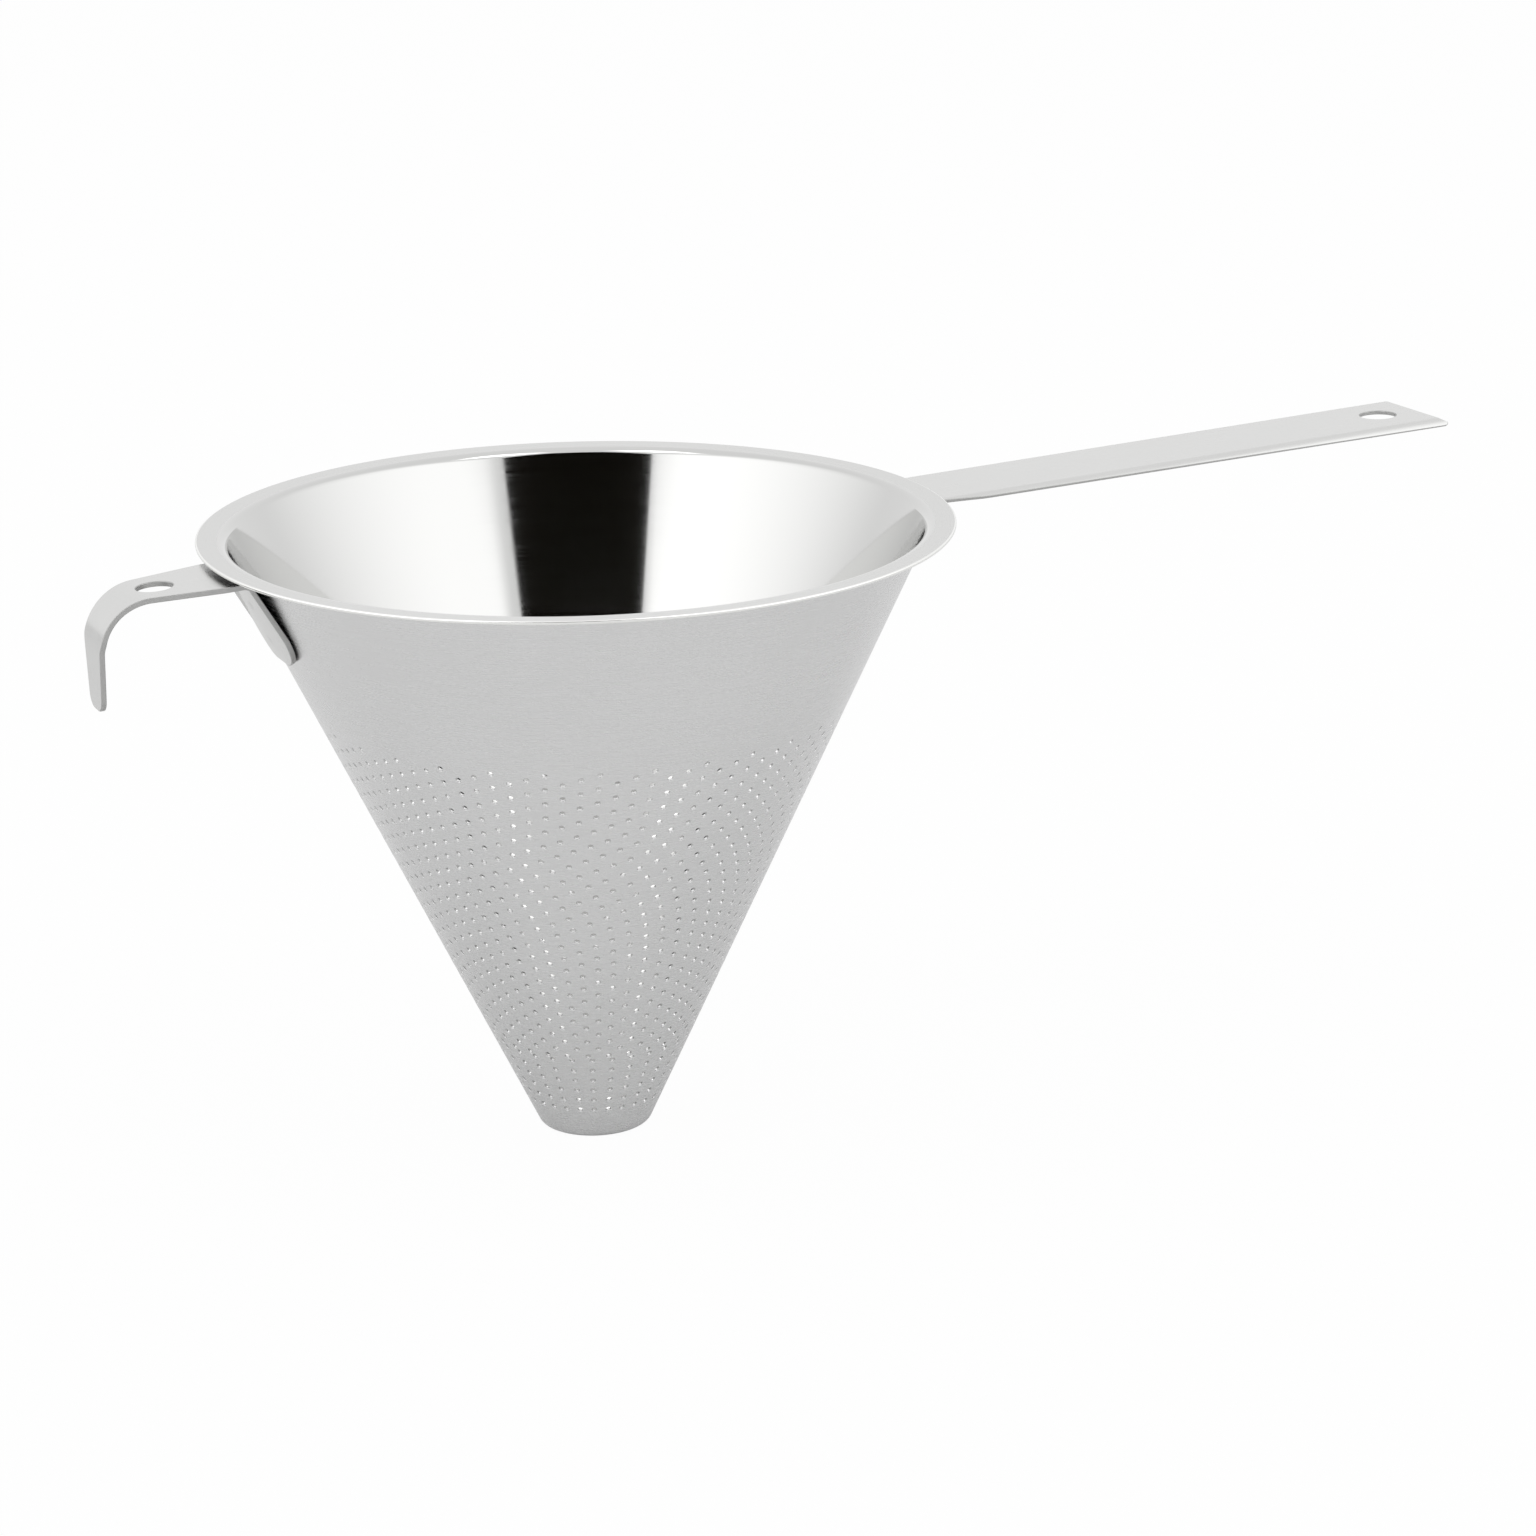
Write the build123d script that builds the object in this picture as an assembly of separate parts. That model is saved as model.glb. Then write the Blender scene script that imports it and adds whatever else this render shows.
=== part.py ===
from build123d import *

import os
from math import cos, radians, sin, tan

# Conical strainer (chinois) of spun and pressed stainless sheet.
# The origin is the centre of the flat tip's underside, +Z runs up the axis of the cone, +X along
# the handle and -X along the rest hook. Lengths are in millimetres and angles in degrees.
# Handle and hook are spot-welded on, so the strainer is one rigid body with nothing that moves.

# Cone: one spun sheet with a rolled-out rim, a closed flat tip and rings of punched holes.
cone_sheet = 1.0
cone_half_angle = 24.95
tip_radius = 15.9
tip_corner_radius = 2.4
rim_height = 178.3
flange_width = 6.75
rim_slope = 3.5
rim_bend_radius = 2.0
hole_width = 1.5
holes_in_ring = 32
ring_count = 9
lowest_ring = 10.4
highest_ring = 127.8
ring_margin = 1.9

# Handle: a long strip with its long edges rolled down, and a wide tab against the cone.
handle_sheet = 1.2
handle_length = 173.6
handle_rise = 1.95
handle_flat_width = 27.0
handle_roll_radius = 3.5
handle_roll_at_rim = 22.0
handle_roll_near_rim = 46.0
handle_roll_at_end = 66.0
handle_runout = 16.0
handle_bend_radius = 3.5
handle_tab_length = 60.0
handle_tab_ear = 3.2
handle_tab_shoulder = 9.0
handle_tab_corner = 10.0
hang_hole_diameter = 11.0
hang_hole_inset = 14.7

# Rest hook: a strip that narrows outwards and bends down behind the edge of a pot.
hook_sheet = 1.5
hook_gap = 34.0
hook_fall = 3.15
hook_root_width = 28.2
hook_elbow_width = 17.0
hook_leg_width = 15.0
hook_tip_width = 11.2
hook_root_bend_radius = 3.5
hook_elbow_radius = 13.7
hook_leg_depth = 32.5
hook_tip_corner = 4.0
hook_tab_length = 28.5
hook_tab_corner = 10.0
hook_hole_diameter = 10.0
hook_hole_offset = 16.0

# Both strips pass under the rim with a clearance, and their tabs stand off the wall by a gap
# that flat weld nuggets fill, each under a shallow mark in the tab.
strip_clearance = 1.4
seat_gap = 0.25
weld_diameter = 4.0
weld_mark_diameter = 3.0
weld_mark_depth = 0.3
hook_weld_inset = 7.0
hook_weld_pitch = 11.3
hook_weld_count = 2
handle_weld_inset = 12.0
handle_weld_pitch = 14.0
handle_weld_count = 3

# Every cut runs past the faces that it opens by this much.
overrun = 2.0

wall_angle = radians(cone_half_angle)
wall_flare = tan(wall_angle)
rim_tilt = tan(radians(rim_slope))
rim_radius = tip_radius + rim_height * wall_flare + flange_width
rim_underside = rim_height - cone_sheet / cos(radians(rim_slope))
strip_level = rim_underside - strip_clearance


def meeting_height(radius_at_tip, level_at_rim, tilt):
    """Height where a wall line meets a strip line that passes the rim radius at that level."""
    return (level_at_rim - (rim_radius - radius_at_tip) * tilt) / (1 - wall_flare * tilt)


def on_wall(radius_at_tip, height):
    """Point in the XZ plane on the line of the wall that starts at radius_at_tip."""
    return (radius_at_tip + height * wall_flare, height)


def sheet_face(line, sheet, side):
    """Face in the XZ plane of an even sheet that lies on one side of a line."""
    return make_face(Plane.XZ * offset(line, amount=sheet, side=side, kind=Kind.INTERSECTION))


def strip_blank(points, bends, sheet, width):
    """A bent strip of even width, whose upper side follows the points."""
    line = FilletPolyline(*points, radius=bends)
    return extrude(sheet_face(line, sheet, Side.RIGHT), amount=width / 2, both=True)


def bend_points(before, corner, after, bend_radius):
    """Start, middle and end of a rounded corner, so that its bend is drawn as two flats."""
    rounded = FilletPolyline(before, corner, after, radius=bend_radius)
    bend = rounded.edges().filter_by(GeomType.CIRCLE)[0]
    return [bend @ 0, bend @ 0.5, bend @ 1]


# Spun cone: the underside of the sheet runs from the axis over the tip, the wall and the rim.
tip_centre = (0, 0)
tip_corner = (tip_radius, 0)
wall_corner = on_wall(tip_radius, meeting_height(tip_radius, rim_underside, rim_tilt))
rim_edge = (rim_radius, rim_underside)
cone_line = Polyline(
    tip_centre,
    *bend_points(tip_centre, tip_corner, wall_corner, tip_corner_radius),
    *bend_points(tip_corner, wall_corner, rim_edge, rim_bend_radius),
    rim_edge,
)
spun_cone = revolve(sheet_face(cone_line, cone_sheet, Side.LEFT), axis=Axis.Z)

# Perforated zone: its wall is drawn as flat staves, two for each hole of a ring, and each hole is
# punched square through the middle of one flat. Every other ring is turned round by one stave.
stave_turn = 180 / holes_in_ring
zone_bottom = lowest_ring - ring_margin
zone_top = highest_ring + ring_margin
zone_height = zone_top - zone_bottom


def wall_plane(height):
    """Plane that touches the outside of the wall at a height above the tip."""
    foot = on_wall(tip_radius, height)
    return Plane(
        origin=(foot[0], 0, foot[1]),
        x_dir=(0, 1, 0),
        z_dir=(cos(wall_angle), 0, -sin(wall_angle)),
    )


def stave(rings):
    """One flat stave, with a hole in the middle for each of the rings, counted from the lowest."""
    side = 2 * rim_radius * tan(radians(stave_turn / 2))
    wedge_outline = Polyline((0, 0), (2 * rim_radius, side), (2 * rim_radius, -side), close=True)
    wedge = extrude(Plane.XY.offset(zone_bottom) * make_face(wedge_outline), amount=zone_height)
    plate = Pos(0, 0, -cone_sheet / 2) * Box(rim_radius, 2 * zone_height, cone_sheet)
    cutter = Box(hole_width, hole_width, 2 * (cone_sheet + overrun))
    pitch = (highest_ring - lowest_ring) / (ring_count - 1)
    cutters = [wall_plane(lowest_ring + ring * pitch) * cutter for ring in rings]
    return (wall_plane((zone_bottom + zone_top) / 2) * plate & wedge) - cutters


# The faces of all staves but those of their joints close the zone all round.
zone_faces = []
for turn, rings in ((0, range(0, ring_count, 2)), (stave_turn, range(1, ring_count, 2))):
    stave_faces = stave(rings).faces().sort_by(Axis.Y)[1:-1]
    for count in range(holes_in_ring):
        zone_faces += [Rot(0, 0, turn + 2 * count * stave_turn) * face for face in stave_faces]
zone_slab = Pos(0, 0, (zone_bottom + zone_top) / 2) * Cylinder(rim_radius, zone_height)
strainer_cone = spun_cone - zone_slab + Solid(Shell(zone_faces))

# Tabs stand off the wall by the seat gap, so a tab's inner side is a line parallel to the wall.
tab_radius = tip_radius + seat_gap / cos(wall_angle)


def tab_plane(depth_below_corner, corner_height, sheet):
    """Plane on a tab's outer side, facing away from the wall, at a depth along it from its bend."""
    height = corner_height - depth_below_corner * cos(wall_angle)
    foot = on_wall(tab_radius, height)
    return Plane(
        origin=(foot[0] + sheet * cos(wall_angle), 0, foot[1] - sheet * sin(wall_angle)),
        x_dir=(0, 1, 0),
        z_dir=(cos(wall_angle), 0, -sin(wall_angle)),
    )


def weld_marks(depths, corner_height, sheet):
    """Shallow round marks that the electrodes leave in the outer side of a tab."""
    mark = Cylinder(weld_mark_diameter / 2, 2 * weld_mark_depth)
    return [tab_plane(depth, corner_height, sheet) * mark for depth in depths]


def weld_nuggets(depths, corner_height, sheet):
    """Fused six-sided discs that fill the seat gap under each mark, cut to the curve of the wall."""
    disc = extrude(Pos(0, 0, -sheet) * RegularPolygon(weld_diameter / 2, 6), amount=-2 * seat_gap)
    return [tab_plane(depth, corner_height, sheet) * disc - strainer_cone for depth in depths]


# Handle: the bent strip, then the stretch with rolled edges from the rim to the free end.
handle_tilt = tan(radians(handle_rise))
handle_corner = meeting_height(tab_radius, strip_level, handle_tilt)
handle_foot = handle_corner - handle_tab_length * cos(wall_angle)
handle_start = on_wall(tab_radius, handle_corner)[0] + handle_bend_radius + handle_sheet
handle_reach = rim_radius + handle_length


def handle_point(reach):
    """Point in the XZ plane on the handle's flat top."""
    return (reach, strip_level + (reach - rim_radius) * handle_tilt)


def handle_section(reach, roll):
    """Cross section of the handle, with both edges rolled down through an angle."""
    turn = radians(roll)
    flat = handle_flat_width / 2
    inner = handle_roll_radius - handle_sheet
    depth = handle_roll_radius
    outer_edge = (flat + depth * sin(turn), depth * cos(turn) - depth)
    inner_edge = (flat + inner * sin(turn), inner * cos(turn) - depth)
    upper_mid = (flat + depth * sin(turn / 2), depth * cos(turn / 2) - depth)
    lower_mid = (flat + inner * sin(turn / 2), inner * cos(turn / 2) - depth)
    half = [
        Line((0, 0), (flat, 0)),
        ThreePointArc((flat, 0), upper_mid, outer_edge),
        Line(outer_edge, inner_edge),
        ThreePointArc(inner_edge, lower_mid, (flat, -handle_sheet)),
        Line((flat, -handle_sheet), (0, -handle_sheet)),
    ]
    other = [mirror(edge, about=Plane.YZ) for edge in half]
    foot = handle_point(reach)
    along = (cos(radians(handle_rise)), 0, sin(radians(handle_rise)))
    plane = Plane(origin=(foot[0], 0, foot[1]), x_dir=(0, 1, 0), z_dir=along)
    return plane * make_face(half + other)


def tab_outline(tab_width, neck_width, shoulder, length, corner):
    """Outline of a tab, with the bend at the origin, the tab below it and the neck above."""
    half_tab = tab_width / 2
    half_neck = neck_width / 2
    outline = FilletPolyline(
        (half_neck, length),
        (half_neck, -shoulder),
        (half_tab, -2 * shoulder),
        (half_tab, -length),
        (-half_tab, -length),
        (-half_tab, -2 * shoulder),
        (-half_neck, -shoulder),
        (-half_neck, length),
        radius=[shoulder / 2, shoulder / 2, corner, corner, shoulder / 2, shoulder / 2],
    )
    return make_face(outline + Line((-half_neck, length), (half_neck, length)))


handle_neck_width = handle_flat_width + 2 * handle_roll_radius * sin(radians(handle_roll_at_rim))
handle_tab_width = handle_neck_width + 2 * handle_tab_ear
handle_blank = strip_blank(
    [on_wall(tab_radius, handle_foot), on_wall(tab_radius, handle_corner), handle_point(handle_start)],
    [handle_bend_radius + handle_sheet],
    handle_sheet,
    handle_tab_width,
)
handle_trim = extrude(
    tab_plane(0, handle_corner, handle_sheet)
    * tab_outline(
        handle_tab_width, handle_neck_width, handle_tab_shoulder, handle_tab_length, handle_tab_corner
    ),
    amount=handle_tab_length,
    both=True,
)
handle_sections = [
    handle_section(handle_start, handle_roll_at_rim),
    handle_section(handle_start + handle_runout, handle_roll_near_rim),
    handle_section(handle_reach, handle_roll_at_end),
]
rolled_handle = loft(handle_sections, ruled=True)
handle_weld_depths = [
    handle_tab_length - handle_weld_inset - count * handle_weld_pitch for count in range(handle_weld_count)
]
handle_marks = weld_marks(handle_weld_depths, handle_corner, handle_sheet)
hang_foot = handle_point(handle_reach - hang_hole_inset)
hang_plane = Plane(
    origin=(hang_foot[0], 0, hang_foot[1]),
    x_dir=(0, 1, 0),
    z_dir=(-sin(radians(handle_rise)), 0, cos(radians(handle_rise))),
)
hang_hole = hang_plane * Cylinder(hang_hole_diameter / 2, 2 * (handle_sheet + overrun))
handle = (handle_blank & handle_trim) + rolled_handle - hang_hole - handle_marks

# Rest hook: the tab, the bend under the rim, the level stretch, the elbow and the leg.
hook_tilt = -tan(radians(hook_fall))
hook_reach = rim_radius + hook_gap
hook_corner = meeting_height(tab_radius, strip_level, hook_tilt)
hook_foot = hook_corner - hook_tab_length * cos(wall_angle)
hook_elbow_level = strip_level + hook_gap * hook_tilt
hook_tip_level = strip_level - hook_leg_depth
hook_blank = strip_blank(
    [
        on_wall(tab_radius, hook_foot),
        on_wall(tab_radius, hook_corner),
        (hook_reach, hook_elbow_level),
        (hook_reach, hook_tip_level),
    ],
    [hook_root_bend_radius + hook_sheet, hook_elbow_radius + hook_sheet],
    hook_sheet,
    hook_root_width,
)
tab_normal = Axis((0, 0, 0), (cos(wall_angle), 0, -sin(wall_angle)))
hook_blank = fillet(hook_blank.edges().filter_by(tab_normal), hook_tab_corner)
plan_outline = Polyline(
    (rim_radius, hook_root_width / 2),
    (hook_reach, hook_elbow_width / 2),
    (hook_reach, -hook_elbow_width / 2),
    (rim_radius, -hook_root_width / 2),
    close=True,
)
leg_outline = Polyline(
    (hook_root_width / 2, strip_level),
    (hook_leg_width / 2, hook_elbow_level - hook_elbow_radius),
    (hook_tip_width / 2, hook_tip_level),
    (-hook_tip_width / 2, hook_tip_level),
    (-hook_leg_width / 2, hook_elbow_level - hook_elbow_radius),
    (-hook_root_width / 2, strip_level),
    close=True,
)
outer_trim = extrude(make_face(plan_outline), amount=rim_height, dir=(0, 0, 1)) & extrude(
    make_face(Plane.YZ * leg_outline), amount=hook_reach, dir=(1, 0, 0)
)
root_trim = Pos(rim_radius / 2, 0, rim_height / 2) * Box(rim_radius, hook_root_width, rim_height)
hook_strip = hook_blank & (outer_trim + root_trim)
hook_strip = fillet(hook_strip.edges().filter_by(Axis.X).group_by(Axis.Z)[0], hook_tip_corner)
hook_weld_depths = [
    hook_tab_length - hook_weld_inset - count * hook_weld_pitch for count in range(hook_weld_count)
]
hook_marks = weld_marks(hook_weld_depths, hook_corner, hook_sheet)
hook_hole_plane = Plane(
    origin=(rim_radius + hook_hole_offset, 0, strip_level + hook_hole_offset * hook_tilt),
    x_dir=(0, 1, 0),
    z_dir=(sin(radians(hook_fall)), 0, cos(radians(hook_fall))),
)
hook_hole = hook_hole_plane * Cylinder(hook_hole_diameter / 2, 2 * (hook_sheet + overrun))
opposite = Rot(0, 0, 180)
rest_hook = opposite * (hook_strip - hook_hole - hook_marks)

# Weld nuggets, one group for each tab.
handle_spot_welds = Compound(children=weld_nuggets(handle_weld_depths, handle_corner, handle_sheet))
hook_nuggets = weld_nuggets(hook_weld_depths, hook_corner, hook_sheet)
hook_spot_welds = Compound(children=[opposite * nugget for nugget in hook_nuggets])

os.makedirs("parts", exist_ok=True)
pieces = {
    "strainer_cone": strainer_cone,
    "handle": handle,
    "rest_hook": rest_hook,
    "handle_spot_welds": handle_spot_welds,
    "hook_spot_welds": hook_spot_welds,
}
for name, piece in pieces.items():
    export_step(piece, f"parts/{name}.step")
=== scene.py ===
import math

import bpy
import numpy as np
from mathutils import Matrix, Vector
from mathutils.geometry import delaunay_2d_cdt


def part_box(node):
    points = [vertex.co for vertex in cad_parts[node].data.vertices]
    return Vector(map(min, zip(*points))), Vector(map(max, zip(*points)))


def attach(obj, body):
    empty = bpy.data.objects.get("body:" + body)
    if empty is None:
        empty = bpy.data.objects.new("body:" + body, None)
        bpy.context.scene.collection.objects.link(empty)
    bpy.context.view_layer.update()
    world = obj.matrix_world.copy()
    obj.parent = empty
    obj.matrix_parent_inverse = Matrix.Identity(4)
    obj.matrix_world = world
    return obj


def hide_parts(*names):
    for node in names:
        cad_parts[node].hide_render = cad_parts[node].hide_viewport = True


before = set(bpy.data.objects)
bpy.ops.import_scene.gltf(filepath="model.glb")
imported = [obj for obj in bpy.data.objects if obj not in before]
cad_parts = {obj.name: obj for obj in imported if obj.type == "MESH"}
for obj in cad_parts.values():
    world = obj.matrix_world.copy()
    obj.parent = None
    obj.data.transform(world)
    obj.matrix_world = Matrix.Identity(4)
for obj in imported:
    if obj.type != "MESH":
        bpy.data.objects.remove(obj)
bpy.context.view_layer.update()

# Strainer cone.
# One disc of stainless sheet, spun over a cone with its rim rolled outwards, then punched with
# rings of round holes. Satin outside and on the rim, polished to a mirror inside.
# Lengths are in millimetres until a mesh is made, and angles in degrees.

mm = 0.001
cone_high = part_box("strainer_cone")[1]
rim_radius = cone_high.x / mm
rim_height = cone_high.z / mm
cone_sheet = 1.0
cone_half_angle = 24.95
tip_radius = 15.9
tip_corner_radius = 2.4
rim_slope = 3.5
rim_bend_radius = 2.0
rim_edge_radius = 0.42
mirror_radius = 99.6

holes_in_ring = 32
hole_radius = 0.74
hole_edge_radius = 0.26
hole_sides = 14
ring_segments = 256
front_azimuth = -111.78
hole_phase = front_azimuth + 3.05
top_ring = 178.65
ring_pitch_at_top = 1.655
ring_pitch_rise = 0.47
ring_pitch_rise_again = 0.95
ring_reach = 110.0
last_staggered_ring = 70.6
stagger_at_top = 0.3415
stagger_below = 0.5
stagger_change_start = 171.5
stagger_change_end = 97.0
low_ring_top = 69.5
low_ring_pitch = 4.06
low_ring_count = 6
low_ring_phase = front_azimuth - 1.0
zone_margin = 2.2

half_angle = math.radians(cone_half_angle)
sector = 360 / holes_in_ring
apex_depth = tip_radius / math.tan(half_angle)


def smooth(value):
    """Smooth step from 0 to 1."""
    value = np.clip(value, 0, 1)
    return value * value * (3 - 2 * value)


def hole_rings():
    """Slant distance from the apex and azimuth of one hole of each ring, from the top down."""
    rings = []
    slant = top_ring
    azimuth = hole_phase
    while slant > last_staggered_ring:
        rings.append((slant, azimuth))
        way_down = (top_ring - slant) / ring_reach
        change = smooth((stagger_change_start - slant) / (stagger_change_start - stagger_change_end))
        azimuth -= sector * (stagger_at_top + (stagger_below - stagger_at_top) * change)
        slant -= ring_pitch_at_top + ring_pitch_rise * way_down + ring_pitch_rise_again * way_down**2
    turns = round((rings[-1][1] - low_ring_phase) / sector)
    for count in range(low_ring_count):
        rings.append((low_ring_top - count * low_ring_pitch, low_ring_phase + turns * sector))
    return np.array(rings)


def circle(centre, radius, sides, clockwise=True):
    """Points of a circle in the flat sheet. Clockwise ones are holes."""
    turn = np.arange(sides) * 2 * math.pi / sides
    if clockwise:
        turn = -turn
    return np.array(centre) + radius * np.stack([np.cos(turn), np.sin(turn)], 1)


def into_sheet(loop):
    """Mitre vectors that point from a cut edge into the sheet, which lies to its left."""

    def left(step):
        return np.stack([-step[:, 1], step[:, 0]], 1) / np.linalg.norm(step, axis=1)[:, None]

    ahead = left(np.roll(loop, -1, 0) - loop)
    behind = left(loop - np.roll(loop, 1, 0))
    return (ahead + behind) / (1 + (ahead * behind).sum(1))[:, None]


def fill(loops, inner_points):
    """Triangles between the loops of a flat sheet, numbered as loops first, then inner points."""
    points = np.concatenate(loops + [inner_points])
    edges = []
    start = 0
    for loop in loops:
        count = len(loop)
        edges += [(start + i, start + (i + 1) % count) for i in range(count)]
        start += count
    same_point = 1e-7
    result = delaunay_2d_cdt([Vector(p) for p in points], edges, [], 0, same_point, True)
    source = [ids[0] for ids in result[3]]
    triangles = np.array([[source[i] for i in face] for face in result[2]])
    middle = points[triangles].mean(1)
    inside = np.zeros(len(middle), bool)
    for a, b in edges:
        low, high = points[a], points[b]
        crosses = (low[1] > middle[:, 1]) != (high[1] > middle[:, 1])
        if crosses.any():
            share = (middle[:, 1] - low[1]) / (high[1] - low[1])
            inside ^= crosses & (middle[:, 0] < low[0] + share * (high[0] - low[0]))
    return points, triangles[inside]


def sheet_shell(loops, inner_points, place, sheet, edge_radius, cut_first=True):
    """Both sides of a piece of sheet and its cut edges, which are rounded over.

    The loops are laid out flat, and place(points, depth) puts them in space, at a depth below the
    outer side. The first loop is the outline, and stays open where cut_first is false. The result
    is points, normals, flat places, and the faces of the outer side, the inner side and the edges.
    """
    step = 1e-3
    insets = [loop + into_sheet(loop) * edge_radius for loop in loops]
    if not cut_first:
        insets[0] = loops[0]
    flat, triangles = fill(insets, inner_points)

    def side_normal(points, depth):
        along = place(points + [step, 0], depth) - place(points - [step, 0], depth)
        across = place(points + [0, step], depth) - place(points - [0, step], depth)
        normal = np.cross(along, across)
        return normal / np.linalg.norm(normal, axis=1)[:, None]

    def edge_normal(loop, depth):
        inward = into_sheet(loop) * step
        normal = place(loop - inward, depth) - place(loop, depth)
        return normal / np.linalg.norm(normal, axis=1)[:, None]

    count = len(flat)
    points = [place(flat, 0.0), place(flat, sheet)]
    normals = [side_normal(flat, 0.0), -side_normal(flat, sheet)]
    layout = [np.insert(flat, 2, 0.0, 1), np.insert(flat, 2, sheet, 1)]
    quads = []
    base = 2 * count
    start = 0
    for number, loop in enumerate(loops):
        size = len(loop)
        if number or cut_first:
            rows = [start + np.arange(size)]
            slope = math.sqrt(0.5)
            drop = edge_radius * (1 - slope)
            inward = into_sheet(loop)
            for offset, depth, lean in (
                (drop, drop, slope),
                (0.0, edge_radius, 0.0),
                (0.0, sheet - edge_radius, 0.0),
                (drop, sheet - drop, -slope),
            ):
                moved = loop + inward * offset
                points.append(place(moved, depth))
                layout.append(np.insert(moved, 2, depth, 1))
                up = side_normal(moved, depth)
                out = edge_normal(loop, depth)
                normal = out * math.sqrt(1 - lean**2) + up * lean
                normals.append(normal)
                rows.append(base + np.arange(size))
                base += size
            rows.append(count + start + np.arange(size))
            for upper, lower in zip(rows[:-1], rows[1:]):
                quads.append(np.stack([upper, lower, np.roll(lower, -1), np.roll(upper, -1)], 1))
        start += size
    return (
        np.concatenate(points),
        np.concatenate(normals),
        np.concatenate(layout),
        triangles,
        triangles[:, ::-1] + count,
        np.concatenate(quads),
    )


def make_mesh(name, points, normals, groups, layout=None):
    """Mesh object from millimetre points, smooth normals and (faces, material) groups.

    A layout gives each point's place in the flat sheet, which the grain of a strip follows.
    """
    faces = []
    materials = []
    slots = []
    for rows, material in groups:
        if material not in materials:
            materials.append(material)
        facing = np.cross(
            points[rows[:, 2]] - points[rows[:, 0]], points[rows[:, -1]] - points[rows[:, 1]]
        )
        turned = (facing * normals[rows].sum(1)).sum(1) < 0
        rows = np.where(turned[:, None], rows[:, ::-1], rows)
        for row in rows:
            corners = list(dict.fromkeys(int(i) for i in row))
            if len(corners) > 2:
                faces.append(corners)
                slots.append(materials.index(material))
    used, compact = np.unique(np.concatenate([np.array(f) for f in faces]), return_inverse=True)
    renumbered = []
    start = 0
    for face in faces:
        renumbered.append(compact[start : start + len(face)].tolist())
        start += len(face)
    mesh = bpy.data.meshes.new(name)
    mesh.from_pydata((points[used] * mm).tolist(), [], renumbered)
    for material in materials:
        mesh.materials.append(material)
    mesh.polygons.foreach_set("material_index", slots)
    mesh.shade_smooth()
    mesh.normals_split_custom_set_from_vertices(normals[used].tolist())
    if layout is not None:
        places = mesh.attributes.new("strip_place", "FLOAT_VECTOR", "POINT")
        places.data.foreach_set("vector", (layout[used] * mm).ravel())
    piece = bpy.data.objects.new(name, mesh)
    bpy.context.scene.collection.objects.link(piece)
    return piece


def linear(hex_colour):
    """Linear colour with alpha from an sRGB hex value."""
    channels = [int(hex_colour[i : i + 2], 16) / 255 for i in (1, 3, 5)]
    return [c / 12.92 if c <= 0.04045 else ((c + 0.055) / 1.055) ** 2.4 for c in channels] + [1.0]


def add(tree, kind, inputs=None, **settings):
    """Adds a node, sets its fields, and sets or links its inputs."""
    node = tree.nodes.new(kind)
    for field, value in settings.items():
        setattr(node, field, value)
    for socket, value in (inputs or {}).items():
        if isinstance(value, bpy.types.NodeSocket):
            tree.links.new(value, node.inputs[socket])
        else:
            node.inputs[socket].default_value = value
    return node


def new_material(name):
    """Empty node material and its tree."""
    material = bpy.data.materials.new(name)
    material.use_nodes = True
    material.node_tree.nodes.clear()
    return material, material.node_tree


def ring_coordinates(tree, across, along):
    """Coordinates that run quickly down the wall and slowly round it, with no seam.

    across and along are the sizes of one grain, in millimetres.
    """
    place = add(tree, "ShaderNodeTexCoord").outputs["Object"]
    split = add(tree, "ShaderNodeSeparateXYZ", {0: place})
    flat = add(tree, "ShaderNodeVectorMath", {0: place, 1: (1, 1, 0)}, operation="MULTIPLY")
    radius = add(tree, "ShaderNodeVectorMath", {0: flat.outputs[0]}, operation="LENGTH")
    turn = add(tree, "ShaderNodeVectorMath", {0: flat.outputs[0]}, operation="NORMALIZE")
    turns = add(
        tree,
        "ShaderNodeVectorMath",
        {0: turn.outputs[0], "Scale": rim_radius / along},
        operation="SCALE",
    )
    down = add(tree, "ShaderNodeMath", {0: split.outputs["Z"], 1: radius.outputs["Value"]}, operation="ADD")
    lines = add(tree, "ShaderNodeMath", {0: down.outputs[0], 1: 1 / (across * mm)}, operation="MULTIPLY")
    rise = add(tree, "ShaderNodeCombineXYZ", {"Z": lines.outputs[0]})
    return add(tree, "ShaderNodeVectorMath", {0: turns.outputs[0], 1: rise.outputs[0]}, operation="ADD")


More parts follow.
